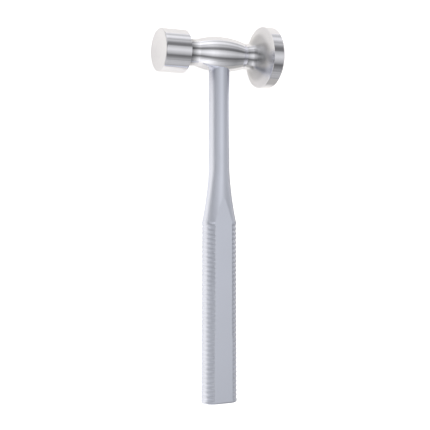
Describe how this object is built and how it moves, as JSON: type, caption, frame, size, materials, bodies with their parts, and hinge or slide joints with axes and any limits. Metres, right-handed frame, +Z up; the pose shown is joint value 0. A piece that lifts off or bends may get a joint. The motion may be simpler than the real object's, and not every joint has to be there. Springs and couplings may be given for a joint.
{
  "type": "surgical mallet",
  "caption": "Solid steel surgical mallet with a small flat and a broad crowned striking face on a turned head, and a flat-sided handle with ridged edges.",
  "frame": {"origin": "on the surface that the mallet lies on, under the centre of its bounding box", "axes": "+Y from the grip's end towards the head, +X towards the broad striking face, +Z up through the grip's flat sides; at rest the head's axis rises 5 degrees towards the broad face and the handle falls 2.6 degrees towards the grip's end"},
  "size_m": [0.0624, 0.1838, 0.0303],
  "materials": {
    "polished_steel": "turned and polished stainless steel, with fine turning lines round the faces and rim",
    "satin_steel": "satin stainless steel, evenly matt"
  },
  "bodies": {
    "root": {"head": "polished_steel", "handle": "satin_steel"}
  },
  "joints": []
}
